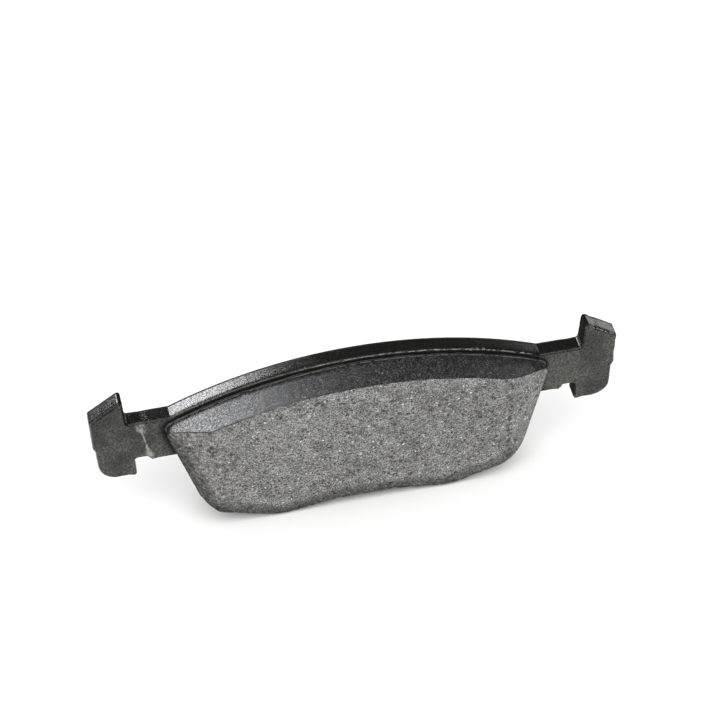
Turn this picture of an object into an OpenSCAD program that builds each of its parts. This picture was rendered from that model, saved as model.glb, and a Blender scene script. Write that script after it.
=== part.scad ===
// Disc brake pad with hammerhead ears: steel backing plate, bonded friction block, damping shim.
// X runs along the pad, +Z points away from the axle, and the friction face looks towards -Y.
// The origin is midway along and through the pad, on the level of its lowest edge.

/* [Backing plate] */
// Length over both ears
pad_length = 155; // [150:1:160]
// Height from the lowest edge to the crown of the plate
pad_height = 51.8; // [51:0.1:53]
// Thickness of the steel plate
plate_t = 5; // [4:0.5:6]
// Radius of the plate's curved top
crown_r = 130.5; // [125:0.5:140]
// Border of bare plate beside and below the friction material
plate_border = 0.8; // [0.5:0.1:1.2]
// Border of bare plate above the friction material
crown_border = 1.9; // [1.3:0.1:2.5]

/* [Ears] */
// Length of the hammerhead at the end of each ear
head_length = 10.6; // [10:0.1:12]
// Height of the neck's top edge
neck_top = 39.9; // [39:0.1:40.4]
// Height of the neck's bottom edge
neck_bottom = 23.5; // [22.5:0.1:24.5]
// Height of the head's inner top corner
head_top = 49.8; // [47:0.1:51]
// Height of the head's outer top corner
head_shoulder = 42.8; // [41.5:0.1:44]
// Height of the head's bottom edge
head_bottom = 18; // [17:0.1:19]
// Radius of the head's outer bottom corner
head_corner_r = 5.5; // [3:0.5:6]
// Lean of the head's inner edge above the neck
hook_lean = 0.7; // [0:0.1:1.5]
// How far the lower hook reaches back over the neck
lower_hook = 1.1; // [0.5:0.1:1.5]
// Step between the upper and the lower half of the head's outer edge
head_step = 0.7; // [0.4:0.1:1]
// Length of the head's outer edge above the step
upper_edge = 11; // [10:0.5:12]
// Height of the slope between the two halves
step_slope = 2.2; // [2:0.1:3]
// Length of the relief under the neck
relief_length = 3.5; // [3.2:0.1:4]
// Depth of the relief
relief_depth = 1.4; // [1:0.1:1.8]
// Radius of the relief beside the lower hook
relief_r = 1.2; // [0.8:0.1:1.3]
// Radius that breaks the head's sharp corners
edge_r = 0.8; // [0.4:0.1:1]

/* [Friction material] */
// Thickness of the friction block in front of its underlayer
block_t = 7.6; // [7:0.1:8.5]
// Thickness of the underlayer
underlayer_t = 2; // [1.5:0.1:2.5]
// Thickness of the bond film on the plate
bond_t = 0.1; // [0.05:0.01:0.2]
// Half width of the block at its top corners
block_half_w = 56.6; // [55:0.1:57]
// Half width of the block at its bottom corners
foot_half_w = 47.5; // [46:0.1:49]
// Radius of the bottom corners
foot_r = 12; // [8:0.5:14]
// Radius of the top corners
shoulder_r = 2.5; // [1:0.1:3.5]
// Half width of the flat friction face between the end chamfers
face_half_w = 44.2; // [42:0.1:46]
// Angle of the end chamfers to the friction face
chamfer_angle = 30.4; // [20:0.1:31]

/* [Block bottom edge] */
// Distance of each low lobe from the middle
lobe_x = 24.5; // [22:0.1:27]
// Radius of each low lobe
lobe_r = 18; // [12:0.5:24]
// Slope of the bottom edge outside the lobes, in degrees
rise_out = 18; // [16:0.5:20]
// Slope of the bottom edge between the lobes, in degrees
rise_in = 9; // [7:0.5:10]
// Half width of the shallow waist between the lobes
waist_half_w = 8.5; // [7:0.1:10]
// Radius at each end of the waist
waist_r = 25; // [15:1:30]

/* [Retention holes and pips] */
// Radius of the plate's holes that the underlayer fills
key_r = 4.5; // [3.5:0.1:5.5]
// Distance of the inner holes from the middle
key_x_in = 15; // [12:0.5:18]
// Distance of the outer holes from the middle
key_x_out = 41; // [38:0.5:43]
// Height of the holes
key_z = 18; // [16:0.5:20]
// Radius of the pips that locate the shim
pip_r = 3.5; // [3:0.1:4]
// Distance of the pips from the middle
pip_x = 36; // [33:0.5:38]
// Height of the pips
pip_z = 33; // [31:0.5:34]
// How far the pips stand off the plate's back
pip_h = 0.9; // [0.6:0.1:1]

/* [Shim] */
// Thickness of the shim's pressure-sensitive adhesive
glue_t = 0.1; // [0.05:0.01:0.2]
// Thickness of each rubber coat
rubber_t = 0.15; // [0.1:0.01:0.3]
// Thickness of the shim's steel core
core_t = 0.6; // [0.4:0.05:0.8]
// Border of bare plate above the shim
shim_border = 2.2; // [1.5:0.1:3]
// Half width of the shim at its top corners
shim_half_w = 52; // [50:0.1:53]
// Half width of the shim at its bottom corners
shim_foot_w = 44.5; // [43:0.1:46]
// Height of the shim's bottom edge
shim_bottom = 7.5; // [6.5:0.5:9]
// Radius of the shim's bottom corners
shim_r = 4; // [2:0.5:6]
// Gap between the shim and each pip
pip_gap = 0.4; // [0.2:0.1:0.8]

/* [Hidden] */
$fn = 96;
spare = 1; // overshoot of cutting shapes
lap = 0.003; // a corner's arc laps this far over the straight edges it joins
crown_z = pad_height - crown_r; // height of the centre of the curved top
block_crown_r = crown_r - crown_border;
head_x = pad_length / 2;
low_head_x = head_x - head_step;
hook_x = head_x - head_length;
low_hook_x = hook_x - lower_hook;
ear_root_x = block_half_w - 8; // the ears start inside the plate's body
shim_t = glue_t + 2 * rubber_t + core_t;
pad_t = block_t + underlayer_t + bond_t + plate_t + shim_t;
face_y = -pad_t / 2; // the layers follow each other along +Y from here
underlayer_y = face_y + block_t;
bond_y = underlayer_y + underlayer_t;
plate_y = bond_y + bond_t;
glue_y = plate_y + plate_t;
inner_rubber_y = glue_y + glue_t;
core_y = inner_rubber_y + rubber_t;
outer_rubber_y = core_y + core_t;

// The block's bottom edge: slopes tangent to a round lobe, whose lowest point is at plate_border
function on_slope(a, dx) = plate_border + lobe_r * (1 - 1 / cos(a)) + tan(a) * dx;
lobe_dx = (on_slope(rise_in, 0) - on_slope(rise_out, 0)) / (tan(rise_out) + tan(rise_in));
foot = [foot_half_w, on_slope(rise_out, foot_half_w - lobe_x), foot_r];
lobe = [lobe_x + lobe_dx, on_slope(rise_out, lobe_dx), lobe_r];
waist = [waist_half_w, on_slope(rise_in, lobe_x - waist_half_w), waist_r];
block_corner_z = crown_z + sqrt(block_crown_r ^ 2 - block_half_w ^ 2);

// An outline's corners are [x, z, radius], anticlockwise; each radius is drawn as a true arc.
function xz(p) = [p[0], p[1]];
function unit(v) = v / norm(v);
function cross2(a, b) = a[0] * b[1] - a[1] * b[0];
function mirrored(half) = [for (i = [len(half) - 1:-1:0]) [-half[i][0], half[i][1], half[i][2]]];
function back(pts, i) = unit(xz(pts[(i + len(pts) - 1) % len(pts)]) - xz(pts[i]));
function ahead(pts, i) = unit(xz(pts[(i + 1) % len(pts)]) - xz(pts[i]));
function half_angle(pts, i) = acos(back(pts, i) * ahead(pts, i)) / 2;
function bisector(pts, i) = unit(back(pts, i) + ahead(pts, i)) / sin(half_angle(pts, i));
function convex(pts, i) = cross2(-back(pts, i), ahead(pts, i)) > 0;
function arc_centre(pts, i) = xz(pts[i]) + bisector(pts, i) * pts[i][2];
function trimmed(pts) = [
    for (i = [0:len(pts) - 1])
        let (cut = pts[i][2] / tan(half_angle(pts, i)))
            each cut == 0 ? [xz(pts[i])]
                : [xz(pts[i]) + back(pts, i) * cut, xz(pts[i]) + ahead(pts, i) * cut]
];

// Corner i moved out by a border, with its radius kept parallel
function grown(pts, i, border) =
    let (
        side = convex(pts, i) ? 1 : -1,
        p = xz(pts[i]) - side * bisector(pts, i) * border
    ) [p[0], p[1], pts[i][2] + side * border];

module corner_arcs(pts, outer) {
    for (i = [0:len(pts) - 1])
        if (pts[i][2] > 0 && convex(pts, i) == outer)
            translate(arc_centre(pts, i)) circle(pts[i][2] + lap);
}

module rounded(pts) {
    difference() {
        union() {
            polygon(trimmed(pts));
            corner_arcs(pts, true);
        }
        corner_arcs(pts, false);
    }
}

// A flat piece of thickness t, standing on edge with its near side at y
module slab(y, t) {
    translate([0, y + t, 0]) rotate([90, 0, 0]) linear_extrude(t) children();
}

module both_sides() {
    children();
    mirror([1, 0]) children();
}

module under_crown(r) {
    intersection() {
        children();
        translate([0, crown_z]) circle(r, $fn = 240);
    }
}

// The friction material's outline, with borders added at its sides and bottom and at its top
module block_outline(border = 0, top_border = 0) {
    top = [block_half_w, block_corner_z, 0];
    half = [waist, lobe, foot, top];
    whole = concat(half, mirrored(half));
    up = unit(xz(top) - xz(foot));
    out = [up[1], -up[0]];
    r = shoulder_r + border;
    top_r = block_crown_r + top_border;
    crown_centre = [0, crown_z];
    across = (xz(foot) - crown_centre) * out + border - r;
    centre = crown_centre + across * out + sqrt((top_r - r) ^ 2 - across ^ 2) * up;
    on_side = centre + r * out;
    past_crown = centre + unit(centre - crown_centre) * (r + spare);
    right = [
        for (i = [0:2]) grown(whole, i, border),
        [on_side[0], on_side[1], 0],
        [centre[0], centre[1], 0],
        [past_crown[0], past_crown[1], 0],
        [past_crown[0], pad_height + spare, 0],
    ];
    under_crown(top_r) rounded(concat(right, mirrored(right)));
    for (s = [-1, 1]) translate([s * centre[0], centre[1]]) circle(r + lap);
}

module ear_outline() {
    rounded([
        [ear_root_x, neck_bottom, 0],
        [low_hook_x - relief_length - relief_depth, neck_bottom, edge_r],
        [low_hook_x - relief_length, neck_bottom + relief_depth, edge_r],
        [low_hook_x, neck_bottom + relief_depth, relief_r],
        [low_hook_x, head_bottom, edge_r],
        [low_head_x, head_bottom, head_corner_r],
        [low_head_x, head_shoulder - upper_edge - step_slope, 2 * edge_r],
        [head_x, head_shoulder - upper_edge, 2 * edge_r],
        [head_x, head_shoulder, edge_r],
        [hook_x + hook_lean, head_top, edge_r],
        [hook_x, neck_top, edge_r],
        [ear_root_x, neck_top, 0],
    ]);
}

module key_holes() {
    both_sides()
        for (x = [key_x_in, key_x_out]) translate([x, key_z]) circle(key_r);
}

module pips(r) {
    both_sides() translate([pip_x, pip_z]) circle(r);
}

module shim_outline() {
    right = [
        [shim_foot_w, shim_bottom, shim_r],
        [shim_half_w, neck_top - shim_border, 0],
        [shim_half_w - shim_r, pad_height, 0],
    ];
    difference() {
        under_crown(crown_r - shim_border) rounded(concat(right, mirrored(right)));
        pips(pip_r + pip_gap);
    }
}

// Stamped steel plate: its holes take the underlayer's keys, and half-pierced pips locate the shim
module backing_plate() color("#3c3d3a") {
    difference() {
        slab(plate_y, plate_t) difference() {
            union() {
                block_outline(plate_border, crown_border);
                both_sides() ear_outline();
            }
            key_holes();
        }
        slab(plate_y - spare, pip_h + spare) pips(pip_r);
    }
    slab(glue_y, pip_h) pips(pip_r);
}

// Cured resin film between the plate and the underlayer
module bond_film() color("#4a3b28") {
    slab(bond_y, bond_t) difference() {
        block_outline();
        key_holes();
        pips(pip_r);
    }
}

// Soft layer, with keys that fill the plate's holes and the dimples behind the pips
module underlayer() color("#4a463f") {
    slab(underlayer_y, underlayer_t) block_outline();
    slab(bond_y, bond_t + plate_t) key_holes();
    slab(bond_y, bond_t + pip_h) pips(pip_r);
}

// Friction block, with a chamfer across each end
module friction_block() color("#81817f") {
    run = block_half_w + spare - face_half_w;
    wedge = [[0, 0], [0, -spare], [run, -spare], [run, run * tan(chamfer_angle)]];
    difference() {
        slab(face_y, block_t) block_outline();
        for (s = [0, 1]) mirror([s, 0, 0])
            translate([face_half_w, face_y, 0]) linear_extrude(pad_height) polygon(wedge);
    }
}

module shim_adhesive() color("#2b2a28") {
    slab(glue_y, glue_t) shim_outline();
}

module shim_inner_rubber() color("#1e1e1e") {
    slab(inner_rubber_y, rubber_t) shim_outline();
}

module shim_steel_core() color("#9a9c9d") {
    slab(core_y, core_t) shim_outline();
}

module shim_outer_rubber() color("#232324") {
    slab(outer_rubber_y, rubber_t) shim_outline();
}

backing_plate();
bond_film();
underlayer();
friction_block();
shim_adhesive();
shim_inner_rubber();
shim_steel_core();
shim_outer_rubber();
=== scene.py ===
# Disc brake pad. Metres: the pad runs along X, its friction face looks towards -Y and +Z is up.
import math

import bpy
import numpy as np
from mathutils import Matrix, Vector, geometry, noise
from mathutils.kdtree import KDTree


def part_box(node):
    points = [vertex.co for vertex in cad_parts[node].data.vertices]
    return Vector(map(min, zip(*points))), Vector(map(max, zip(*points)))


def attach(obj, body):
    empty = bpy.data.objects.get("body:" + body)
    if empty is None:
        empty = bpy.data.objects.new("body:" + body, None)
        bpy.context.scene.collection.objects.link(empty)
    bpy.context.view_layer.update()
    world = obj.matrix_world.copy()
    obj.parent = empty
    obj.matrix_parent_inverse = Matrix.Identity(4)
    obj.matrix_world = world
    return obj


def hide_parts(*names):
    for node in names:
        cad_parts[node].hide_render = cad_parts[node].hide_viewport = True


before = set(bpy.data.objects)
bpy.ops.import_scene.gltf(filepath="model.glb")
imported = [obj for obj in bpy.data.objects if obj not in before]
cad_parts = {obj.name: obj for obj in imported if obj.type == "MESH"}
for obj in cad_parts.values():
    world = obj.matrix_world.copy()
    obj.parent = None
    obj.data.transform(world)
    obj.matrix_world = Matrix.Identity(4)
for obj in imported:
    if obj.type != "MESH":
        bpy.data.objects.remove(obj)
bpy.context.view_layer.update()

mm = 0.001
scene = bpy.context.scene
print("frame loaded:", len(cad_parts), "nodes")


# Camera and lamps come first, so that all the rest is judged in the same view
studio = {
    "aim": (0.5 * mm, 0.0, 52.9 * mm),
    "distance": 594.8 * mm,
    "heading": 11.39,  # degrees from +Y towards +X
    "elevation": 47.09,
    "roll": -1.2,
    "lens": 105.3,
    "sensor": 36,
    "farthest": 20,
    "floorSize": 6.0,
    "floorTone": (0.86, 0.9),
    "roomLight": 1.0,
    "wallLight": 0.35,
    "ceilingLight": 0.03,
    "wallTop": (0.12, 0.45),  # where the white wall fades out in reflections, as the rise of a view
}

# each lamp: place, aim, width, height, power, colour, and whether it lights more than reflections
softBoxes = {
    "overhead": ((-0.10, -0.62, 1.80), (0.0, 0.0, 0.02), 2.3, 1.3, 22.0, (1.0, 0.99, 0.975), True),
    "backLeft": ((-0.53, 0.65, 0.63), (-0.04, 0.0, 0.045), 0.47, 0.36, 12.9, (0.97, 0.98, 1.0), False),
    "backRight": ((0.95, 0.85, 0.10), (0.07, 0.0, 0.05), 0.5, 0.14, 1.35, (1.0, 1.0, 1.0), False),
    "left": ((-0.72, -0.14, 0.76), (-0.04, 0.0, 0.04), 0.50, 0.44, 3.7, (1.0, 1.0, 1.0), False),
}


def addObject(name, data):
    thing = bpy.data.objects.new(name, data)
    scene.collection.objects.link(thing)
    return thing


def addCamera():
    heading, elevation, roll = (math.radians(studio[turn]) for turn in ("heading", "elevation", "roll"))
    forward = Vector((
        math.sin(heading) * math.cos(elevation),
        math.cos(heading) * math.cos(elevation),
        -math.sin(elevation),
    ))
    level = Vector((math.cos(heading), -math.sin(heading), 0.0))
    right = level * math.cos(roll) + level.cross(forward) * math.sin(roll)
    up = right.cross(forward)
    camera = addObject("camera", bpy.data.cameras.new("camera"))
    camera.data.lens = studio["lens"]
    camera.data.sensor_width = studio["sensor"]
    camera.data.clip_end = studio["farthest"]
    turn = Matrix((right, up, -forward)).transposed().to_4x4()
    camera.matrix_world = Matrix.Translation(Vector(studio["aim"]) - forward * studio["distance"]) @ turn
    scene.camera = camera


def addSoftBoxes():
    for name, (place, target, width, height, power, tint, scatters) in softBoxes.items():
        lamp = addObject(name, bpy.data.lights.new(name, "AREA"))
        lamp.data.shape = "RECTANGLE"
        lamp.data.size, lamp.data.size_y = width, height
        lamp.data.energy = power
        lamp.data.color = tint
        lamp.location = place
        aim = Vector(target) - Vector(place)
        lamp.rotation_euler = aim.to_track_quat("-Z", "Y").to_euler()
        lamp.visible_diffuse = scatters


addCamera()
addSoftBoxes()
print("camera and lamps placed")


# Node helpers
def wire(tree, target, value):
    if isinstance(value, bpy.types.NodeSocket):
        tree.links.new(value, target)
    else:
        target.default_value = value


def put(tree, kind, feeds=None, **settings):
    # one node with its settings, and its inputs either linked or set
    node = tree.nodes.new("ShaderNode" + kind)
    for name, value in settings.items():
        setattr(node, name, value)
    for socket, value in (feeds or {}).items():
        wire(tree, node.inputs[socket], value)
    return node


def sums(tree, operation, *values):
    return put(tree, "Math", dict(enumerate(values)), operation=operation).outputs[0]


def product(tree, value, *others):
    for other in others:
        value = sums(tree, "MULTIPLY", value, other)
    return value


def mixOf(tree, share, first, second):
    return put(tree, "Mix", {0: share, 2: first, 3: second}).outputs[0]


def greyOf(tree, tone):
    return put(tree, "CombineColor", {0: tone, 1: tone, 2: tone}).outputs[0]


def stretch(tree, value, low, high, newLow=0.0, newHigh=1.0):
    feeds = {"Value": value, "From Min": low, "From Max": high, "To Min": newLow, "To Max": newHigh}
    return put(tree, "MapRange", feeds, clamp=True).outputs["Result"]


def blendColour(tree, factor, first, second, kind="MIX"):
    feeds = {0: factor, 6: first, 7: second}
    return put(tree, "Mix", feeds, data_type="RGBA", blend_type=kind, clamp_result=True).outputs[2]


def layered(tree, colour, palette, **factors):
    # lays colours of the palette over one another, each by its own factor
    for name, factor in factors.items():
        colour = blendColour(tree, factor, colour, palette[name])
    return colour


def speckle(tree, place, scale, detail=2.0, roughness=0.5, stretchBy=None):
    if stretchBy:
        place = put(tree, "Mapping", {"Vector": place, "Scale": stretchBy}).outputs[0]
    feeds = {"Vector": place, "Scale": scale, "Detail": detail, "Roughness": roughness}
    return put(tree, "TexNoise", feeds).outputs["Fac"]


def ownPlace(tree):
    return put(tree, "TexCoord").outputs["Object"]


def meshMask(tree, name):
    return put(tree, "Attribute", attribute_name=name).outputs["Fac"]


def newGroup(name, inputs, outputs):
    group = bpy.data.node_groups.new(name, "ShaderNodeTree")
    for label, kind, value in inputs:
        socket = group.interface.new_socket(label, in_out="INPUT", socket_type="NodeSocket" + kind)
        socket.default_value = value
    for label, kind in outputs:
        group.interface.new_socket(label, in_out="OUTPUT", socket_type="NodeSocket" + kind)
    start = group.nodes.new("NodeGroupInput")
    end = group.nodes.new("NodeGroupOutput")
    return group, start.outputs, end.inputs


def useGroup(tree, group, **feeds):
    return put(tree, "Group", feeds, node_tree=group).outputs


def newMaterial(name, **settings):
    material = bpy.data.materials.new(name)
    material.use_nodes = True
    tree = material.node_tree
    shader = tree.nodes["Principled BSDF"]
    for socket, value in settings.items():
        shader.inputs[socket.replace("_", " ")].default_value = value
    return material, tree, shader


def dress(tree, shader, colour, roughness, height, strength, relief):
    bump = put(tree, "Bump", {"Height": height, "Strength": strength, "Distance": relief})
    wire(tree, shader.inputs["Base Color"], colour)
    wire(tree, shader.inputs["Roughness"], roughness)
    wire(tree, shader.inputs["Normal"], bump.outputs[0])


# Shared effects
def makeGrain():
    # the grain of a coating, of rubber or of glue: coarse and fine humps together
    group, given, out = newGroup(
        "fineGrain",
        [("Grains", "Float", 2200.0), ("Fine", "Float", 0.5)],
        [("Grain", "Float"), ("Drift", "Float")],
    )
    place = ownPlace(group)
    coarse = speckle(group, place, given["Grains"], 1.0)
    fine = speckle(group, place, product(group, given["Grains"], 2.7), 2.0, 0.6)
    both = mixOf(group, given["Fine"], coarse, fine)
    wire(group, out["Grain"], stretch(group, both, 0.3, 0.7))
    wire(group, out["Drift"], speckle(group, place, 55.0, 3.0, 0.6))
    return group


def makeEdgeWear():
    # broken wear along the rims that the mesh marks; along the plate's upper edges and the bond resin's
    # bead it also paints glints
    group, given, out = newGroup(
        "edgeWear",
        [("Rim", "Float", 0.0), ("Amount", "Float", 0.5)],
        [("Wear", "Float")],
    )
    place = ownPlace(group)
    patches = speckle(group, place, 900.0, 3.0, 0.65)
    clusters = speckle(group, place, 120.0)
    limit = sums(group, "SUBTRACT", 1.0, given["Amount"])
    chance = product(group, patches, sums(group, "ADD", clusters, 0.5))
    broken = stretch(group, sums(group, "SUBTRACT", chance, limit), 0.0, 0.06)
    wire(group, out["Wear"], product(group, broken, given["Rim"]))
    return group


def makeDust():
    # pale dust in soft patches, thicker on faces that look up; on the bond resin's bead it paints broken
    # glints
    group, given, out = newGroup("dust", [("Amount", "Float", 0.2)], [("Dust", "Float")])
    place = ownPlace(group)
    patches = stretch(group, speckle(group, place, 90.0, 4.0, 0.65), 0.42, 0.75)
    specks = stretch(group, speckle(group, place, 2600.0, 1.0), 0.55, 0.75)
    upward = put(group, "SeparateXYZ", {0: put(group, "NewGeometry").outputs["Normal"]}).outputs["Z"]
    lying = stretch(group, upward, -0.2, 1.0, 0.35, 1.0)
    spread = product(group, sums(group, "ADD", patches, specks), lying)
    wire(group, out["Dust"], product(group, spread, given["Amount"]))
    return group


# the dark skin that the press leaves on the sides of the friction material
sideSkin = {
    "gritScale": 2100.0,  # per metre, like all scales of patterns
    "dark": (0.001, 0.001, 0.0012, 1),
    "light": (0.105, 0.105, 0.111, 1),
    "blot": (0.003, 0.003, 0.003, 1),
    "ash": (0.19, 0.19, 0.185, 1),
    "roughness": (0.28, 0.62),
    "relief": 0.07 * mm,
}


def makeMouldedSkin():
    group, given, out = newGroup(
        "mouldedSkin",
        [("Ash", "Float", 1.0)],
        [("Colour", "Color"), ("Rough", "Float"), ("Height", "Float")],
    )
    place = ownPlace(group)
    grit = speckle(group, place, sideSkin["gritScale"], 3.0, 0.8)
    colour = blendColour(group, stretch(group, grit, 0.48, 0.62), sideSkin["dark"], sideSkin["light"])
    blots = stretch(group, speckle(group, place, 420.0, 3.0, 0.6), 0.35, 0.65)
    colour = blendColour(group, product(group, blots, 0.6), colour, sideSkin["blot"])
    ash = stretch(group, speckle(group, place, 1400.0, 4.0, 0.75), 0.6, 0.72)
    ash = product(group, ash, given["Ash"])
    wire(group, out["Colour"], blendColour(group, product(group, ash, 0.6), colour, sideSkin["ash"]))
    gloss = speckle(group, place, 1700.0, 3.0, 0.7)
    wire(group, out["Rough"], stretch(group, gloss, 0.36, 0.64, *sideSkin["roughness"]))
    wire(group, out["Height"], speckle(group, place, 2800.0, 3.0, 0.75))
    return group


fineGrain = makeGrain()
edgeWear = makeEdgeWear()
dust = makeDust()
mouldedSkin = makeMouldedSkin()


# Mesh helpers
def flatLoops(node, plane, facing):
    # the border loops of a node's flat face across Y, with the material on each loop's left
    borders = set()
    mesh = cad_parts[node].data
    for face in mesh.polygons:
        if face.normal.y * facing < 0.99 or abs(face.center.y - plane) > 0.02 * mm:
            continue
        corners = [mesh.vertices[i].co for i in face.vertices]
        corners = [(round(c.x, 5), round(c.z, 5)) for c in corners]
        if facing > 0:
            corners.reverse()
        for a, b in zip(corners, corners[1:] + corners[:1]):
            if (b, a) in borders:
                borders.remove((b, a))
            elif a != b:
                borders.add((a, b))
    after = dict(sorted(borders))
    loops = []
    while after:
        first, point = after.popitem()
        loop = [first]
        while point != first:
            loop.append(point)
            point = after.pop(point)
        loops.append(np.array(loop))
    return sorted(loops, key=lambda loop: -np.ptp(loop[:, 0]))


def spaced(loop, step, closest=0.06 * mm):
    # drops crowded points, then adds points until no gap is longer than step
    kept = [loop[0]]
    for point in loop[1:]:
        if np.linalg.norm(point - kept[-1]) > closest:
            kept.append(point)
    if np.linalg.norm(kept[0] - kept[-1]) < closest:
        kept.pop()
    points = []
    for a, b in zip(kept, kept[1:] + kept[:1]):
        count = max(1, math.ceil(np.linalg.norm(b - a) / step))
        points += [a + (b - a) * i / count for i in range(count)]
    return np.array(points)


def inwards(loop):
    # for each point, the mitred direction into the material
    def leftOf(edge):
        edge = edge / np.linalg.norm(edge, axis=1)[:, None]
        return np.stack([-edge[:, 1], edge[:, 0]], 1)
    before = leftOf(loop - np.roll(loop, 1, 0))
    ahead = leftOf(np.roll(loop, -1, 0) - loop)
    middle = before + ahead
    middle /= np.linalg.norm(middle, axis=1)[:, None]
    return middle / np.clip((middle * ahead).sum(1), 0.6, 1.0)[:, None]


def roomFor(loop, inset):
    # the inset that each point has room for: less where an outer corner turns tightly
    before, ahead = loop - np.roll(loop, 1, 0), np.roll(loop, -1, 0) - loop
    turn = before[:, 0] * ahead[:, 1] - before[:, 1] * ahead[:, 0]
    lengths = np.linalg.norm(before, axis=1) * np.linalg.norm(ahead, axis=1)
    angle = np.arcsin(np.clip(turn / lengths, -1, 1))
    radius = np.where(angle > 0.02, np.sqrt(lengths) / np.maximum(angle, 0.02), 1.0)
    room = np.minimum(inset, 0.55 * radius)
    for _ in range(3):
        room = np.minimum(room, np.minimum(np.roll(room, 1), np.roll(room, -1)) + 0.05 * mm)
    return room


def clamped(values):
    return np.clip(values, 0.0, 1.0)


def atDepth(loop, depth):
    return np.column_stack([loop[:, 0], np.broadcast_to(depth, len(loop)), loop[:, 1]])


def within(values, limits):
    return (values > limits[0]) & (values < limits[1])


def insideLoops(points, loops):
    # even-odd test against all loops
    inside = np.zeros(len(points), bool)
    for loop in loops:
        ends = np.roll(loop, -1, 0)
        for (ax, az), (bx, bz) in zip(loop, ends):
            if az == bz:
                continue
            crosses = (az > points[:, 1]) != (bz > points[:, 1])
            reach = ax + (points[:, 1] - az) * (bx - ax) / (bz - az)
            inside ^= crosses & (points[:, 0] < reach)
    return inside


def nearestOn(loop, points):
    # for each point, the index of the nearest point of a closely spaced loop, and its distance
    tree = KDTree(len(loop))
    for i, (x, z) in enumerate(loop):
        tree.insert((x, z, 0.0), i)
    tree.balance()
    found = [tree.find((x, z, 0.0)) for x, z in points]
    return np.array([f[1] for f in found]), np.array([f[2] for f in found])


def gridInside(loops, step, seed, shake=0.12, clear=0.62):
    # a shaken grid of points inside the loops, clear of their borders; both are shares of step
    outer = loops[0]
    low, high = outer.min(0), outer.max(0)
    xs, zs = np.arange(low[0], high[0], step), np.arange(low[1], high[1], step * 0.866)
    grid = np.stack(np.meshgrid(xs, zs), -1)
    grid[1::2, :, 0] += step / 2
    points = grid.reshape(-1, 2)
    points = points + np.random.default_rng(seed).uniform(-shake, shake, points.shape) * step
    points = points[insideLoops(points, loops)]
    for loop in loops:
        points = points[nearestOn(loop, points)[1] >= step * clear]
    return points


def insideBorders(triangles, borders):
    # keeps the triangles on the left of the border edges, and all that join them
    owner = {}
    for t, (a, b, c) in enumerate(triangles):
        owner[a, b] = owner[b, c] = owner[c, a] = t
    reached = {owner[edge] for edge in borders if edge in owner}
    waiting = list(reached)
    while waiting:
        a, b, c = triangles[waiting.pop()]
        for edge in ((a, b), (b, c), (c, a)):
            t = owner.get(edge[::-1])
            if edge not in borders and t is not None and t not in reached:
                reached.add(t)
                waiting.append(t)
    return [triangles[t] for t in sorted(reached)]


sharpAngle = 21  # degrees; edges that bend less are shaded smooth


class Shell:
    # collects points, faces and the masks that materials read
    def __init__(self, maskNames):
        self.points, self.faces, self.flatFaces = [], [], []
        self.masks = {name: [] for name in maskNames}

    def addPoints(self, across, depths, **masks):
        # rows of (x, z), and the y of each
        first = len(self.points)
        depths = np.broadcast_to(depths, len(across))
        self.points += [(x, y, z) for (x, z), y in zip(across, depths)]
        for name, values in self.masks.items():
            values += list(np.broadcast_to(masks.get(name, 0.0), len(across)))
        return list(range(first, first + len(across)))

    def addWall(self, rings):
        # rings of equal length, from the front of the pad to its back
        for front, back in zip(rings, rings[1:]):
            for i in range(len(front)):
                j = (i + 1) % len(front)
                self.faces.append((front[i], back[i], back[j], front[j]))

    def addCap(self, rings, facing, extra=(), smooth=False):
        # fills the space between border rings, with extra inner points
        ids = [i for ring in rings for i in ring] + list(extra)
        flat = [(self.points[i][0], self.points[i][2]) for i in ids]
        borders, start = [], 0
        for ring in rings:
            borders += [(start + k, start + (k + 1) % len(ring)) for k in range(len(ring))]
            start += len(ring)
        _, _, triangles, origins, _, _ = geometry.delaunay_2d_cdt(flat, borders, [], 0, 1e-9)
        corners = [tuple(origins[c][0] for c in triangle) for triangle in triangles]
        for triangle in insideBorders(corners, set(borders)):
            order = triangle if facing < 0 else triangle[::-1]
            self.faces.append(tuple(ids[i] for i in order))
            if not smooth:
                self.flatFaces.append(len(self.faces) - 1)

    def finish(self, name, material):
        mesh = bpy.data.meshes.new(name)
        mesh.from_pydata(self.points, [], self.faces)
        for mask, values in self.masks.items():
            layer = mesh.attributes.new(mask, "FLOAT", "POINT")
            layer.data.foreach_set("value", np.array(values, np.float32))
        mesh.shade_smooth()
        mesh.set_sharp_from_angle(angle=math.radians(sharpAngle))
        for index in self.flatFaces:
            mesh.polygons[index].use_smooth = False
        mesh.materials.append(material)
        print(name, "made with", len(mesh.polygons), "faces")
        return addObject(name, mesh)


def waver(points, scale, seed, octaves=3):
    # smooth noise for rows of (x, z) or (x, y, z), about -1 to 1; each use has its own seed
    shift = Vector((seed * 7.31, seed * 3.17, seed * 5.73))
    rows = [tuple(p) + (0.0,) * (3 - len(p)) for p in points]
    return np.array([noise.fractal(Vector(p) * scale + shift, 1.0, 2.0, octaves) for p in rows])


def seat(piece, node):
    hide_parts(node)
    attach(piece, "root")


# Friction block
block = {
    "step": 0.31 * mm,  # spacing of the ground face's points
    "rimRound": 0.16 * mm,
    "rimCrumble": 0.45 * mm,
    "rimTurns": (0.0, 0.35, 0.7, 1.0),  # the rounded rim's rings, as shares of a quarter turn
    "wallStep": 0.5 * mm,
    "toothDepth": 0.05 * mm,  # unevenness that grinding leaves
    "grimeWidth": 4.6 * mm,  # darkened strip along the low and left edges
    "paleSide": 2.5 * mm,  # how far bare compound reaches back along the low sides
    "leftBend": 0.3 * mm,
    "rightBend": 4.5 * mm,
    "seed": 11,
}

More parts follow.
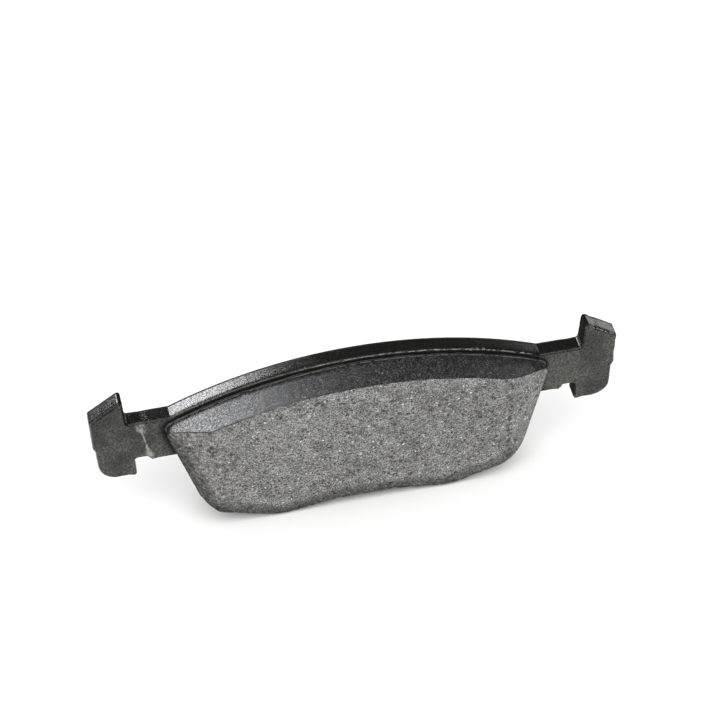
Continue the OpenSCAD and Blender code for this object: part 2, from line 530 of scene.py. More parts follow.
# pits torn out of the ground face
pits = {
    "perSquareMetre": 560000.0,
    "smallest": 0.12 * mm,
    "largest": 0.52 * mm,
    "depthShare": 0.5,  # depth over radius
    "longest": 1.6,  # length over width
    "tilt": 0.9,  # spread of their directions, in radians
    "rarity": 2.3,  # the higher, the fewer large pits
    "darkRadius": 0.28 * mm,  # pits from this radius up get the full painted shade
}

# clusters of larger pits: side, distance past the chamfer's crease, height over the low edge,
# spread along and up, count, smallest and largest radius
pitClusters = [
    (1, -0.8 * mm, 22 * mm, 0.45 * mm, 9 * mm, 34, 0.3 * mm, 0.55 * mm),
    (-1, 2.2 * mm, 5.2 * mm, 1.9 * mm, 1.7 * mm, 26, 0.4 * mm, 0.85 * mm),
    (-1, 0.3 * mm, 33.5 * mm, 0.35 * mm, 1.6 * mm, 10, 0.3 * mm, 0.6 * mm),
    (-1, 7 * mm, 24 * mm, 2 * mm, 6 * mm, 30, 0.25 * mm, 0.5 * mm),
]

# heat-browned ends, outwards from the chamfers' creases; on the right only the top corner
scorched = {
    "crease": 1.5 * mm,
    "lead": 9.0 * mm,  # how far the left end's browning reaches in over the flat face
    "leadFade": 7.0 * mm,
    "leadShare": 0.8,
    "leftFade": 40 * mm,  # height over which it fades
    "rightStart": 6.0 * mm,
    "rightFade": 5.0 * mm,
    "rightShare": 0.7,
    "rightTop": 45 * mm,
}


def chamferOf(node):
    # half width of the flat face, and how fast the end chamfers fall away from it
    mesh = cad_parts[node].data
    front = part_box(node)[0].y + 0.01 * mm
    half = max(abs(v.co.x) for v in mesh.vertices if v.co.y < front)
    slope = max(f.normal.x / -f.normal.y for f in mesh.polygons if f.normal.y < -0.5)
    return half, slope


def pitDepths(points, low, high, half):
    # how deep each point of the ground face lies in a pit, and how much painted shade the pit gets there
    rng = np.random.default_rng(block["seed"])
    area = (high.x - low.x) * (high.z - low.z)
    count = int(area * pits["perSquareMetre"])
    places = np.column_stack([rng.uniform(low.x, high.x, count), rng.uniform(low.z, high.z, count)])
    growth = pits["largest"] / pits["smallest"]
    radii = pits["smallest"] * growth ** (rng.random(count) ** pits["rarity"])
    for side, past, height, spreadX, spreadZ, number, smallest, largest in pitClusters:
        middle = np.array([side * (half + past), low.z + height])
        places = np.vstack([places, middle + rng.normal(0, 1, (number, 2)) * (spreadX, spreadZ)])
        radii = np.concatenate([radii, rng.uniform(smallest, largest, number)])
    lengths = rng.uniform(1.0, pits["longest"], len(radii))
    tilts = rng.normal(0.0, pits["tilt"], len(radii))
    depth, dark = np.zeros(len(points)), np.zeros(len(points))
    order = np.argsort(points[:, 0])
    sortedX = points[order, 0]
    for place, radius, longer, tilt in zip(places, radii, lengths, tilts):
        reach = radius * longer * 1.2
        first, last = np.searchsorted(sortedX, [place[0] - reach, place[0] + reach])
        near = order[first:last]
        gap = points[near] - place
        along = gap[:, 0] * math.cos(tilt) + gap[:, 1] * math.sin(tilt)
        across = gap[:, 1] * math.cos(tilt) - gap[:, 0] * math.sin(tilt)
        shape = clamped(1 - (along / (radius * longer)) ** 2 - (across / radius) ** 2)
        depth[near] = np.maximum(depth[near], shape * radius * pits["depthShare"])
        dark[near] = np.maximum(dark[near], np.sqrt(shape) * min(1.0, radius / pits["darkRadius"]))
    return depth, dark


def makeFrictionBlock(material):
    low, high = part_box("friction_block")
    half, slope = chamferOf("friction_block")
    outline = spaced(flatLoops("friction_block", high.y, 1)[0], block["step"])
    into = inwards(outline)
    shell = Shell(["ground", "pit", "rim", "scorch", "grime"])
    lowEdge = clamped(into[:, 1] + 0.6 * into[:, 0])  # the edges that look down or to the left

    def faceDepth(points):
        # the left crease is crisp, the right one is ground to a soft bend
        bend = np.where(points[:, 0] < 0, block["leftBend"], block["rightBend"])
        past = np.clip(np.abs(points[:, 0]) - half, -bend, None)
        return low.y + slope * np.where(past < bend, (past + bend) ** 2 / (4 * bend), past)

    def scorch(points):
        past, height = np.abs(points[:, 0]) - half, points[:, 1] - low.z
        left = clamped(past / scorched["crease"])
        lead = clamped((past + scorched["lead"]) / scorched["leadFade"])
        left = np.maximum(left, scorched["leadShare"] * lead)
        left = left * clamped(1.35 - height / scorched["leftFade"])
        right = clamped((past - scorched["rightStart"]) / scorched["rightFade"])
        right = right * scorched["rightShare"] * clamped(height / scorched["rightTop"]) ** 3
        return np.where(points[:, 0] < 0, left, right)

    def addRing(inset, drop, ground, rim):
        ring = outline + into * inset[:, None]
        depth = faceDepth(ring) + drop
        return shell.addPoints(ring, depth, ground=ground, rim=rim, scorch=scorch(ring), grime=lowEdge)

    # the rim crumbles mostly along the low edges
    chips = clamped(waver(outline, 520.0, 1, 2) * 1.8 - 0.1)
    rimRound = block["rimRound"] + block["rimCrumble"] * chips * (0.12 + 0.88 * lowEdge)
    rings = []
    for turn in block["rimTurns"]:
        angle = turn * math.pi / 2
        inset, drop = rimRound * (1 - math.sin(angle)), rimRound * (1 - math.cos(angle))
        rim = math.sin(math.pi * (0.25 + 0.65 * turn))
        rings.append(addRing(inset, drop, 1.0 - turn * (1.0 - 0.5 * lowEdge), rim))
    frontEdge = np.array([shell.points[i][1] for i in rings[-1]])
    rows = math.ceil((high.y - frontEdge.min()) / block["wallStep"])
    for row in range(1, rows + 1):
        depth = frontEdge + (high.y - frontEdge) * row / rows
        rough = clamped(waver(atDepth(outline, depth), 450.0, 2, 2)) * (0.06 + 0.12 * lowEdge)
        ring = outline + into * (mm * rough)[:, None]
        fade = clamped(1 - (depth - frontEdge) / block["paleSide"]) * 0.5 * lowEdge
        rings.append(shell.addPoints(ring, depth, ground=fade, scorch=0.3))
    shell.addWall(rings)

    border = outline + into * (rimRound + block["step"] * 0.3)[:, None]
    inner = gridInside([border], block["step"], block["seed"])
    # the pits' painted shade grows with their size and depth
    pitDepth, pitDark = pitDepths(inner, low, high, half)
    tooth = clamped(waver(inner, 1100.0, 5, 2) * 1.6) * block["toothDepth"]
    depth = faceDepth(inner) + pitDepth + tooth
    nearest, gaps = nearestOn(outline, inner)
    grime = lowEdge[nearest] * np.maximum(0.0, 1.0 - gaps / block["grimeWidth"])
    extra = shell.addPoints(inner, depth, ground=1.0, pit=pitDark, scorch=scorch(inner), grime=grime)
    shell.addCap([rings[0]], -1, extra, smooth=True)
    shell.addCap([rings[-1]], 1)
    seat(shell.finish("frictionBlock", material), "friction_block")


# Underlayer and bond film
softLayers = {
    "step": 0.5 * mm,
    "wallRows": 5,
    "recess": 0.02 * mm,  # the underlayer shrinks back a little from the block
    "recessWaver": 0.05 * mm,
    "beadWidth": 0.30 * mm,  # resin squeezed out along the plate
    "beadWaver": 0.38 * mm,
    "beadHeight": 0.32 * mm,
    "beadProfile": [(0.0, 1.0), (0.45, 0.8), (0.8, 0.45), (1.0, 0.0)],  # outwards and up, as shares
    "keyRound": 0.5 * mm,
    "dimpleLap": 0.1 * mm,  # closes the dimples' ends
}


def makeUnderlayer(material):
    low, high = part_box("underlayer")
    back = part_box("bond_film")[0].y
    outline = spaced(flatLoops("underlayer", low.y, -1)[0], softLayers["step"])
    into = inwards(outline)
    shell = Shell([])
    rings = []
    rows = softLayers["wallRows"]
    for row in range(rows + 1):
        depth = low.y + (back - low.y) * row / rows
        uneven = clamped(waver(atDepth(outline, depth), 500.0, 7, 2) + 0.2)
        sunk = softLayers["recess"] * math.sin(math.pi * (row + 0.6) / (rows + 1.2))
        sunk = sunk + softLayers["recessWaver"] * uneven
        rings.append(shell.addPoints(outline + into * sunk[:, None], depth))
    shell.addWall(rings)
    shell.addCap([rings[0]], -1)
    borders = [rings[-1]]
    keyTops = [loop.mean(0) for loop in flatLoops("underlayer", high.y, 1)]
    dimpleEnd = back + (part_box("backing_plate")[1].y - high.y) + softLayers["dimpleLap"]
    for loop in flatLoops("underlayer", back, 1)[1:]:
        isKey = any(abs(top - loop.mean(0)).max() < mm for top in keyTops)
        end = high.y if isKey else dimpleEnd
        loop = spaced(loop, softLayers["step"])[::-1]
        foot = shell.addPoints(loop, back)
        stem = [shell.addPoints(loop + inwards(loop) * inset, depth)
                for inset, depth in quarterRound(softLayers["keyRound"], end, -1)[::-1]]
        shell.addWall([foot] + stem)
        shell.addCap([stem[-1]], 1)
        borders.append(foot[::-1])
    shell.addCap(borders, 1)
    seat(shell.finish("underlayerBlock", material), "underlayer")


def makeBondFilm(material):
    # the film between underlayer and plate, with the uneven bead that curing pressed out
    low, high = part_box("bond_film")
    loops = flatLoops("bond_film", high.y, 1)
    outline = spaced(loops[0], softLayers["step"])
    into = inwards(outline)
    crown = clamped(-into[:, 1])  # 1 along the top, where the ledge is wide enough
    swell = clamped(waver(outline, 260.0, 9, 3) + 0.35)
    width = softLayers["beadWidth"] + softLayers["beadWaver"] * swell * crown
    shell = Shell(["rim"])
    rings = [shell.addPoints(outline + into * softLayers["keyRound"], low.y)]
    for outward, rise in softLayers["beadProfile"]:
        ring = outline - into * (width * outward)[:, None]
        depth = high.y - softLayers["beadHeight"] * rise
        rings.append(shell.addPoints(ring, depth, rim=1.0 if outward == 0.0 else 0.0))
    shell.addWall(rings)
    fronts, rears = [rings[0]], [rings[-1]]
    for loop in loops[1:]:
        loop = spaced(loop, softLayers["step"])
        fronts.append(shell.addPoints(loop, low.y))
        rears.append(shell.addPoints(loop, high.y))
        shell.addWall([fronts[-1], rears[-1]])
    shell.addCap(fronts, -1)
    shell.addCap(rears, 1)
    seat(shell.finish("bondFilm", material), "bond_film")


# Backing plate
plate = {
    "step": 0.6 * mm,
    "dieRollInset": 0.7 * mm,  # the punch draws this edge in, on the side it enters
    "dieRollDepth": 1.5 * mm,
    "backBreak": 0.2 * mm,
    "holeBreak": 0.15 * mm,
    "support": 0.08 * mm,  # ring just inside each rounded edge
    "pipRound": 0.25 * mm,
    "pipFlare": 0.12 * mm,
    "wallRows": 6,
    "tearDepth": 0.05 * mm,  # roughness of the torn half of the sheared wall
    "edgeWaver": 0.16 * mm,
    "waverFrom": 61.0 * mm,  # the ears' edges waver, out from here
    "earGrid": 0.9 * mm,
    "gridFrom": 52.0 * mm,
    "gridClear": 0.98 * mm,  # of the outline
    "shadeWidth": (2.4 * mm, 1.333 * mm),  # painted shade beside the block, on the left and on the right
    "ledgeHeight": 38.5 * mm,  # above this, over the block, the plate gets no painted shade
    "hookInside": (66.3 * mm, 68.4 * mm),  # guiding sides of the hooks, above hookFoot, darkened by painted shade
    "hookFoot": 41.2 * mm,
    "slotInside": (60.0 * mm, 68.4 * mm),  # inside of the right ear's lower slot, darkened by painted shade
    "slotTop": 29.0 * mm,
    "dullBack": 0.45 * mm,  # strip along the back edge, darkened by painted shade
}


def quarterRound(radius, y, towardsBack, depth=None, steps=6):
    # inset and depth of each ring of a rounded edge, from the flat face to the wall
    depth = radius if depth is None else depth
    rows = []
    for k in range(steps + 1):
        angle = k / steps * math.pi / 2
        rows.append((radius * (1 - math.sin(angle)), y + towardsBack * depth * (1 - math.cos(angle))))
    return rows


def makeBackingPlate(material):
    low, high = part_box("backing_plate")
    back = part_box("shim_adhesive")[0].y
    shell = Shell(["rim", "wall", "shade"])
    contact = spaced(flatLoops("friction_block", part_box("friction_block")[1].y, 1)[0], plate["step"])

    def rounded(loop, radius, y, towardsBack, depth=None):
        into = inwards(loop)
        room = roomFor(loop, radius)
        rings = [shell.addPoints(loop + into * (room + plate["support"])[:, None], y)]
        for inset, ringY in quarterRound(radius, y, towardsBack, depth):
            share = inset / radius
            ring = loop + into * (room * share)[:, None]
            rim = math.sin(math.pi * min(1.0, 1.25 * share))
            rings.append(shell.addPoints(ring, ringY, rim=rim, wall=1.0 - share))
        return rings

    pipTops = flatLoops("backing_plate", high.y, 1)
    frontCaps, backCaps = [], []
    frontLoops = flatLoops("backing_plate", low.y, -1)
    for raw in frontLoops:
        loop = spaced(raw, plate["step"])
        if raw is frontLoops[0]:
            outline = loop
            waves = clamped(waver(loop, 380.0, 21, 3) + 0.2)
            waves = waves * (np.abs(loop[:, 0]) > plate["waverFrom"])
            loop = loop + inwards(loop) * (waves * plate["edgeWaver"])[:, None]
            front = rounded(loop, plate["dieRollInset"], low.y, 1, plate["dieRollDepth"])
            wallStart = low.y + plate["dieRollDepth"]
        else:
            front = rounded(loop, plate["holeBreak"], low.y, 1)
            wallStart = low.y + plate["holeBreak"]
        isPip = any(np.linalg.norm(raw.mean(0) - top.mean(0)) < mm for top in pipTops)
        frontCaps.append(front[0])
        if isPip:
            end = shell.addPoints(loop, low.y + high.y - back)
            shell.addWall(front + [end])
            shell.addCap([end[::-1]], -1)
            continue
        rear = rounded(loop, plate["backBreak"], back, -1)[::-1]
        into = inwards(loop)
        middle = []
        for row in range(1, plate["wallRows"]):
            share = row / plate["wallRows"]
            depth = wallStart + (back - plate["backBreak"] - wallStart) * share
            torn = plate["tearDepth"] * clamped(share * 1.6 - 0.4)
            torn = torn * clamped(waver(atDepth(loop, depth * 0.35), 900.0, 13, 2) + 0.5)
            middle.append(shell.addPoints(loop + into * torn[:, None], depth, wall=1.0))
        shell.addWall(front + middle + rear)
        backCaps.append(rear[-1])
    for raw in pipTops:
        loop = spaced(raw, plate["step"] / 2)
        top = rounded(loop, plate["pipRound"], high.y, -1)[::-1]
        foot = shell.addPoints(loop - inwards(loop) * plate["pipFlare"], back)
        shell.addWall([foot] + top)
        shell.addCap([top[-1]], 1)
        backCaps.append(foot[::-1])
    # inner points on the ears carry the painted shade beside the block
    inner = gridInside([outline], plate["earGrid"], 3)
    inner = inner[(np.abs(inner[:, 0]) > plate["gridFrom"]) & ~insideLoops(inner, [contact])]
    inner = inner[nearestOn(outline, inner)[1] >= plate["gridClear"]]
    shell.addCap(frontCaps, -1, shell.addPoints(inner, low.y))
    shell.addCap(backCaps, 1)
    x, y, z = np.array(shell.points).T
    # painted shade: darker beside the block below the ledge, inside the hooks and the slot, and along the
    # back edge
    gaps = nearestOn(contact, np.column_stack([x, z]))[1]
    gaps = gaps / np.where(x < 0, plate["shadeWidth"][0], plate["shadeWidth"][1])
    shade = np.where(z < plate["ledgeHeight"], clamped(1.15 - gaps), 0.0)
    inHook = within(np.abs(x), plate["hookInside"]) & (z > plate["hookFoot"])
    inSlot = within(x, plate["slotInside"]) & (z < plate["slotTop"])
    dull = inHook | inSlot | (y > back - plate["dullBack"])
    shell.masks["shade"] = list(np.maximum(shade, np.array(shell.masks["wall"]) * dull))
    seat(shell.finish("backingPlate", material), "backing_plate")


# Shim: four bonded sheets, blanked together, so their edges follow each other closely
shim = {
    "step": 0.6 * mm,
    "lip": 0.1 * mm,  # ring just inside the rounded back edge
}

# each sheet: node, piece, slot, look, how far it stops short of the steel, and its edge's radius
shimSheets = [
    ("shim_adhesive", "shimAdhesive", "shim_glue", "shimGlue", 0.3 * mm, 0.06 * mm),
    ("shim_inner_rubber", "shimInnerRubber", "shim_rubber", "shimRubber", 0.08 * mm, 0.06 * mm),
    ("shim_steel_core", "shimSteelCore", "shim_steel", "shimSteel", 0.0, 0.06 * mm),
    ("shim_outer_rubber", "shimOuterRubber", "shim_rubber", "shimRubber", 0.08 * mm, 0.12 * mm),
]


def makeShimSheet(node, name, material, shrink, edge):
    low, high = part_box(node)
    shell = Shell(["rim"])
    caps = {-1: [], 1: []}
    edge = min(edge, (high.y - low.y) * 0.45)
    for raw in flatLoops(node, high.y, 1):
        loop = spaced(raw, shim["step"])
        loop = loop + inwards(loop) * shrink
        into = inwards(loop)
        profile = [
            (edge, low.y, 0.0),
            (0.0, low.y + edge * 0.8, 0.0),
            (0.0, high.y - edge, 0.0),
            (edge * 0.35, high.y - edge * 0.3, 1.0),
            (edge, high.y, 0.0),
            (edge + shim["lip"], high.y, 0.0),
        ]
        rings = [shell.addPoints(loop + into * inset, depth, rim=rim) for inset, depth, rim in profile]
        shell.addWall(rings)
        caps[-1].append(rings[0])
        caps[1].append(rings[-1])
    for facing, rings in caps.items():
        shell.addCap(rings, facing)
    seat(shell.finish(name, material), node)


# Materials
coating = {
    "dark": (0.001, 0.001, 0.0009, 1),
    "light": (0.013, 0.0135, 0.0105, 1),
    "caught": (0.136, 0.138, 0.11, 1),  # grinding dust held by the grain of the ears
    "scuff": (0.33, 0.31, 0.28, 1),
    # pale edge chips, partly painted glints along the upper edges
    "worn": (0.2, 0.2, 0.195, 1),
    "rubbed": (0.27, 0.27, 0.265, 1),
    "dust": (0.35, 0.34, 0.31, 1),
    # painted shade beside the block, in the hooks and the slot and along the back edge
    "grime": (0.002, 0.002, 0.002, 1),
    "grains": 2100.0,
    "wornShare": 0.36,
    "dusty": 0.008,
    "caughtFrom": (54 * mm, 58 * mm),  # out from the middle of the pad
    "roughness": (0.2, 0.25),
    "gloss": (0.12, 0.62),  # specular level, from the pores to the skin between them
    "relief": 0.04 * mm,
}

# painted highlight: broken thin light lines along the upper front edge, mostly on the right half
threads = {
    "rim": (0.86, 0.91),  # the part of the rounded edge, by the mesh's mask
    "above": (40.5 * mm, 41.5 * mm),
    "front": (4.0 * mm, 4.4 * mm),
    "along": (-30 * mm, 22 * mm),
    "scale": 1500.0,
}

# a thin rubbed line down the left neck, with a blot near its top and a smear near its foot
scuff = {
    "low": (24 * mm, -61.2 * mm),  # Z and X of its ends
    "high": (39 * mm, -63.3 * mm),
    "width": (0.14 * mm, 1.15 * mm),  # of the line and the blot
    "blot": (34.5 * mm, 37.0 * mm),
    "smear": (26.5 * mm, 30.5 * mm),
    "smearWidth": 0.8 * mm,
    "drift": 1.8 * mm,
    "front": (2.5 * mm, 3.5 * mm),
}


def coatedSteelLook():
    # semi-gloss powder coat over stamped steel: fine grain, a pale scuff, chips on the rims that are
    # partly painted glints, a painted highlight along the front edge and painted shade
    material, tree, shader = newMaterial("coatedSteel", IOR=1.5, Specular_IOR_Level=0.35)
    place = ownPlace(tree)
    spot = put(tree, "SeparateXYZ", {0: place}).outputs
    rounded = sums(tree, "MAXIMUM", meshMask(tree, "wall"), meshMask(tree, "rim"))
    flat = sums(tree, "SUBTRACT", 1.0, rounded)
    onEars = stretch(tree, sums(tree, "ABSOLUTE", spot["X"]), *coating["caughtFrom"])
    grain = useGroup(tree, fineGrain, Grains=coating["grains"], Fine=0.45)
    wear = useGroup(tree, edgeWear, Rim=meshMask(tree, "rim"), Amount=coating["wornShare"])
    lying = useGroup(tree, dust, Amount=coating["dusty"])
    colour = blendColour(tree, grain["Grain"], coating["dark"], coating["light"])
    # the caught dust lies in patches, and a little thicker on the right neck
    caught = stretch(tree, speckle(tree, place, 1500.0, 4.0, 0.75), 0.42, 0.66)
    rightNeck = product(tree, stretch(tree, spot["X"], 55 * mm, 58 * mm, 0.0, 0.07),
                        stretch(tree, spot["X"], 66 * mm, 70 * mm, 1.0, 0.0))
    patches = mixOf(tree, 0.62, speckle(tree, place, 300.0, 3.0, 0.7), speckle(tree, place, 110.0))
    patches = stretch(tree, sums(tree, "ADD", patches, rightNeck), 0.43, 0.60)
    caught = product(tree, caught, patches, flat, onEars)
    scuffed = product(tree, scuffBand(tree, place, spot), flat)
    # painted shade, which darkens the colour and dims the reflections
    shade = product(tree, meshMask(tree, "shade"), 0.9)
    colour = layered(
        tree, colour, coating,
        caught=product(tree, caught, 0.8),
        scuff=scuffed,
        worn=wear["Wear"],
        rubbed=rubbedEdge(tree, place, spot),
        dust=lying["Dust"],
        grime=shade,
    )
    smooth = stretch(tree, grain["Drift"], 0.35, 0.7, *coating["roughness"])
    matt = sums(tree, "ADD", sums(tree, "ADD", scuffed, caught), product(tree, shade, 2.4))
    rough = sums(tree, "ADD", smooth, product(tree, matt, 0.3))
    pores = stretch(tree, speckle(tree, place, 2300.0, 3.0, 0.75), 0.38, 0.58, *coating["gloss"])
    bare = sums(tree, "SUBTRACT", 1.0, product(tree, shade, 0.85))
    wire(tree, shader.inputs["Specular IOR Level"], product(tree, pores, bare))
    dress(tree, shader, colour, rough, grain["Grain"], 0.8, coating["relief"])
    return material


def rubbedEdge(tree, place, spot):
    # painted highlight on a narrow band of the rounded front edge
    line = stretch(tree, meshMask(tree, "rim"), *threads["rim"])
    upper = stretch(tree, spot["Z"], *threads["above"])
    front = stretch(tree, spot["Y"], *threads["front"], 1.0, 0.0)
    along = stretch(tree, spot["X"], *threads["along"], 0.1, 1.0)
    broken = speckle(tree, place, threads["scale"], 3.0, 0.75, (0.35, 1.0, 1.0))
    return product(tree, line, upper, front, along, stretch(tree, broken, 0.44, 0.62))


def scuffBand(tree, place, spot):
    drift = sums(tree, "SUBTRACT", speckle(tree, place, 420.0, 3.0, 0.6), 0.5)
    (lowZ, lowX), (highZ, highX) = scuff["low"], scuff["high"]
    middle = stretch(tree, spot["Z"], lowZ, highZ, lowX, highX)
    drifted = sums(tree, "ADD", spot["X"], product(tree, drift, scuff["drift"]))
    off = sums(tree, "ABSOLUTE", sums(tree, "SUBTRACT", drifted, middle))
    blot = stretch(tree, spot["Z"], *scuff["blot"], *scuff["width"])
    smear = stretch(tree, spot["Z"], *scuff["smear"], scuff["smearWidth"], 0.0)
    near = sums(tree, "DIVIDE", off, sums(tree, "ADD", blot, smear))
    band = stretch(tree, near, 0.4, 1.5, 1.0, 0.0)
    broken = speckle(tree, place, 1300.0, 3.0, 0.7, (1.0, 1.0, 0.5))
    onFront = stretch(tree, spot["Y"], *scuff["front"], 1.0, 0.0)
    return product(tree, band, stretch(tree, broken, 0.38, 0.58, 0.08, 0.95), onFront)


# ground granular compound: its ingredients, and what heat, dirt and breaking off do to it
compound = {
    "pepper": (0.004, 0.004, 0.0039, 1),
    "salt": (0.375, 0.375, 0.363, 1),
    "carbon": (0.025, 0.025, 0.025, 1),
    "fibre": (0.5, 0.5, 0.485, 1),
    "scorch": (0.05, 0.042, 0.03, 1),
    "torn": (0.4, 0.39, 0.355, 1),
    "gouged": (0.035, 0.032, 0.027, 1),
    # painted shade inside the pits
    "pit": (0.018, 0.018, 0.017, 1),
    "grime": (0.017, 0.018, 0.014, 1),
    "glint": (0.4, 0.4, 0.4, 1),
    "seam": (0.012, 0.012, 0.012, 1),
    "seamEnd": (-42 * mm, -8 * mm),  # the seam fades out between these
    "gritScale": 1800.0,
    "powderScale": 4400.0,
    "powderShare": 0.66,
    "contrast": (0.44, 0.566),
    "ragged": 0.9 * mm,  # how far the chips' outlines stray
    "roughness": 0.82,
    "relief": 0.07 * mm,
}

# kinds of chips: cells per metre, size in a cell, share of the cells, colour
chipKinds = [
    (800.0, 0.26, 0.30, (0.75, 0.75, 0.73, 1)),
    (300.0, 0.12, 0.16, (0.36, 0.30, 0.21, 1)),
    (230.0, 0.11, 0.14, (0.22, 0.14, 0.12, 1)),
]


def groundColour(tree, place):
    # salt and pepper, clouds, carbon, fibres and chips
    grit = speckle(tree, place, compound["gritScale"], 3.0, 0.85)
    powder = speckle(tree, place, compound["powderScale"], 2.0, 0.8)
    grains = stretch(tree, mixOf(tree, compound["powderShare"], grit, powder), *compound["contrast"])
    colour = blendColour(tree, grains, compound["pepper"], compound["salt"])
    clouds = speckle(tree, place, 80.0, 3.0, 0.6)
    clouds = mixOf(tree, 0.6, clouds, speckle(tree, place, 330.0))
    tone = stretch(tree, clouds, 0.32, 0.68, 0.62, 1.30)
    colour = blendColour(tree, 1.0, colour, greyOf(tree, tone), "MULTIPLY")
    carbon = speckle(tree, place, 1700.0, 2.0, 0.7, (0.8, 1.0, 1.2))
    fibres = speckle(tree, place, 2600.0, 1.0, 0.5, (0.3, 1.0, 1.0))
    colour = layered(
        tree, colour, compound,
        carbon=stretch(tree, carbon, 0.605, 0.685, 0.0, 0.8),
        fibre=stretch(tree, fibres, 0.62, 0.72, 0.0, 0.6),
    )
    stray = put(tree, "TexNoise", {"Vector": place, "Scale": 1600.0}).outputs["Color"]
    stray = put(tree, "VectorMath", {0: stray, 1: (0.5, 0.5, 0.5)}, operation="SUBTRACT").outputs[0]
    stray = put(tree, "VectorMath", {0: stray, "Scale": compound["ragged"]}, operation="SCALE").outputs[0]
    warped = put(tree, "VectorMath", {0: place, 1: stray}, operation="ADD").outputs[0]
    for perMetre, size, share, tint in chipKinds:
        colour = blendColour(tree, chipMask(tree, warped, perMetre, size, share), colour, tint)
    return colour


def chipMask(tree, place, perMetre, size, share):
    # chips, at most one to a cell, in a share of the cells and of unlike strength
    cells = put(tree, "TexVoronoi", {"Vector": place, "Scale": perMetre}).outputs
    chosen = put(tree, "SeparateColor", {0: cells["Color"]}).outputs
    body = stretch(tree, cells["Distance"], size * 0.6, size, 1.0, 0.0)
    strength = stretch(tree, chosen[0], 1.0 - share, 1.0, 0.3, 1.0)
    picked = product(tree, sums(tree, "GREATER_THAN", chosen[0], 1.0 - share), strength)
    return product(tree, body, picked)


def frictionCompoundLook():
    # ground compound on the faces, moulded skin on the sides
    material, tree, shader = newMaterial("frictionCompound", IOR=1.5)
    place = ownPlace(tree)
    ground, pit, scorch, low, rim = (
        meshMask(tree, name) for name in ("ground", "pit", "scorch", "grime", "rim")
    )
    coarse = stretch(tree, scorch, 0.0, 0.4)
    torn = stretch(tree, speckle(tree, place, 1000.0, 3.0, 0.7, (0.6, 1.0, 0.8)), 0.54, 0.64, 0.0, 0.72)
    gouged = stretch(tree, speckle(tree, place, 850.0, 3.0, 0.7), 0.37, 0.45, 0.8, 0.0)
    clots = stretch(tree, speckle(tree, place, 750.0, 4.0, 0.7), 0.32, 0.58, 0.4, 1.0)
    colour = layered(
        tree, groundColour(tree, place), compound,
        scorch=product(tree, scorch, 0.22),
        torn=product(tree, coarse, torn),
        gouged=product(tree, coarse, gouged),
        pit=product(tree, pit, 0.90),
        grime=product(tree, sums(tree, "POWER", low, 0.45), clots),
    )
    skin = useGroup(tree, mouldedSkin, Ash=0.75)
    glints = product(tree, chipMask(tree, place, 480.0, 0.16, 0.10), 0.6)
    side = blendColour(tree, glints, skin["Colour"], compound["glint"])
    # the change from one to the other is broken up
    broken = stretch(tree, speckle(tree, place, 1500.0, 2.0, 0.6), 0.35, 0.65, -0.35, 0.35)
    edge = stretch(tree, sums(tree, "ADD", ground, broken), 0.35, 0.6)
    colour = blendColour(tree, edge, side, colour)
    # a dark seam where the skin breaks off along the left part of the rim
    across = put(tree, "SeparateXYZ", {0: place}).outputs["X"]
    seam = product(tree, rim, stretch(tree, across, *compound["seamEnd"], 0.95, 0.0))
    colour = blendColour(tree, seam, colour, compound["seam"])
    rough = sums(tree, "MAXIMUM", skin["Rough"], product(tree, edge, compound["roughness"]))
    height = mixOf(tree, edge, skin["Height"], speckle(tree, place, 2600.0, 3.0, 0.7))
    dress(tree, shader, colour, rough, height, 0.8, compound["relief"])
    return material


def underlayerLook():
    material, tree, shader = newMaterial("underlayerCompound", IOR=1.5)
    skin = useGroup(tree, mouldedSkin, Ash=0.5)
    dress(tree, shader, skin["Colour"], skin["Rough"], skin["Height"], 0.8, sideSkin["relief"])
    return material


# thin layers: two tones, roughness, grains per metre, relief in mm, lying dust, worn share, metallic; on
# the bond resin the dust and the wear paint glints along the bead
thinLayers = {
    "bondResin": ((0.002, 0.002, 0.002), (0.01, 0.01, 0.009), (0.35, 0.5), 1200.0, 0.015, 0.1, 0.58, 0),
    "shimGlue": ((0.02, 0.018, 0.015), (0.04, 0.036, 0.03), (0.4, 0.6), 800.0, 0.02, 0.012, 0.3, 0),
    "shimRubber": ((0.008, 0.008, 0.009), (0.026, 0.026, 0.028), (0.42, 0.62), 2500.0, 0.03, 0.09, 0.3, 0),
    "shimSteel": ((0.32, 0.32, 0.33), (0.5, 0.5, 0.51), (0.25, 0.4), 1800.0, 0.01, 0.012, 0.3, 1),
}
# pale marks of wear and dust, which on the bond resin's bead are painted glints
thinMarks = {"worn": (0.26, 0.26, 0.25, 1), "dust": (0.3, 0.29, 0.27, 1)}


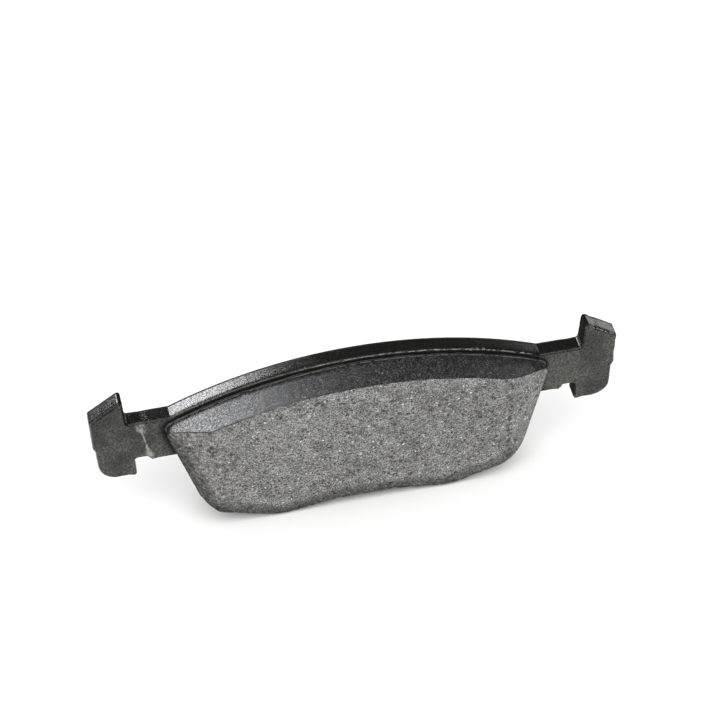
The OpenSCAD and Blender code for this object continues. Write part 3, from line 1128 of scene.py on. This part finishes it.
def thinLayerLook(name):
    dark, light, roughness, grains, relief, dusty, worn, metallic = thinLayers[name]
    material, tree, shader = newMaterial(name, Metallic=metallic)
    grain = useGroup(tree, fineGrain, Grains=grains, Fine=0.5)
    wear = useGroup(tree, edgeWear, Rim=meshMask(tree, "rim"), Amount=worn)["Wear"]
    colour = blendColour(tree, grain["Grain"], (*dark, 1), (*light, 1))
    lying = useGroup(tree, dust, Amount=dusty)["Dust"]
    colour = layered(tree, colour, thinMarks, worn=wear, dust=lying)
    rough = stretch(tree, grain["Drift"], 0.3, 0.7, *roughness)
    dress(tree, shader, colour, rough, grain["Grain"], 0.5, relief * mm)
    return material


def floorLook():
    material, tree, shader = newMaterial("paleFloor", Roughness=0.9, Specular_IOR_Level=0.1)
    drift = speckle(tree, ownPlace(tree), 3.0)
    tone = stretch(tree, drift, 0.3, 0.7, *studio["floorTone"])
    wire(tree, shader.inputs["Base Color"], greyOf(tree, tone))
    return material


# Assembly
makeFrictionBlock(frictionCompoundLook())
makeUnderlayer(underlayerLook())
makeBondFilm(thinLayerLook("bondResin"))
makeBackingPlate(coatedSteelLook())
shimLooks = {name: thinLayerLook(name) for name in ("shimGlue", "shimRubber", "shimSteel")}
for node, name, slotName, look, shrink, edge in shimSheets:
    makeShimSheet(node, name, shimLooks[look], shrink, edge)
print("pieces made and seated")


def addFloor():
    half = studio["floorSize"] / 2
    mesh = bpy.data.meshes.new("floor")
    corners = [(-half, -half, 0), (half, -half, 0), (half, half, 0), (-half, half, 0)]
    mesh.from_pydata(corners, [], [(0, 1, 2, 3)])
    mesh.materials.append(floorLook())
    floor = addObject("floor", mesh)


def addRoom():
    # a plain white room; reflections see it bright near the floor and dark overhead
    world = bpy.data.worlds.new("room")
    scene.world = world
    world.use_nodes = True
    tree = world.node_tree
    scattered = tree.nodes["Background"]
    scattered.inputs["Color"].default_value = (1, 1, 1, 1)
    scattered.inputs["Strength"].default_value = studio["roomLight"]
    upward = put(tree, "SeparateXYZ", {0: put(tree, "TexCoord").outputs["Generated"]}).outputs["Z"]
    seen = stretch(tree, upward, *studio["wallTop"], studio["wallLight"], studio["ceilingLight"])
    mirrored = put(tree, "Background", {"Strength": seen})
    reflected = put(tree, "LightPath").outputs["Is Glossy Ray"]
    both = put(tree, "MixShader", {0: reflected, 1: scattered.outputs[0], 2: mirrored.outputs[0]})
    tree.links.new(both.outputs[0], tree.nodes["World Output"].inputs["Surface"])


addFloor()
addRoom()
scene.view_settings.view_transform = "Standard"
print("floor and room placed")
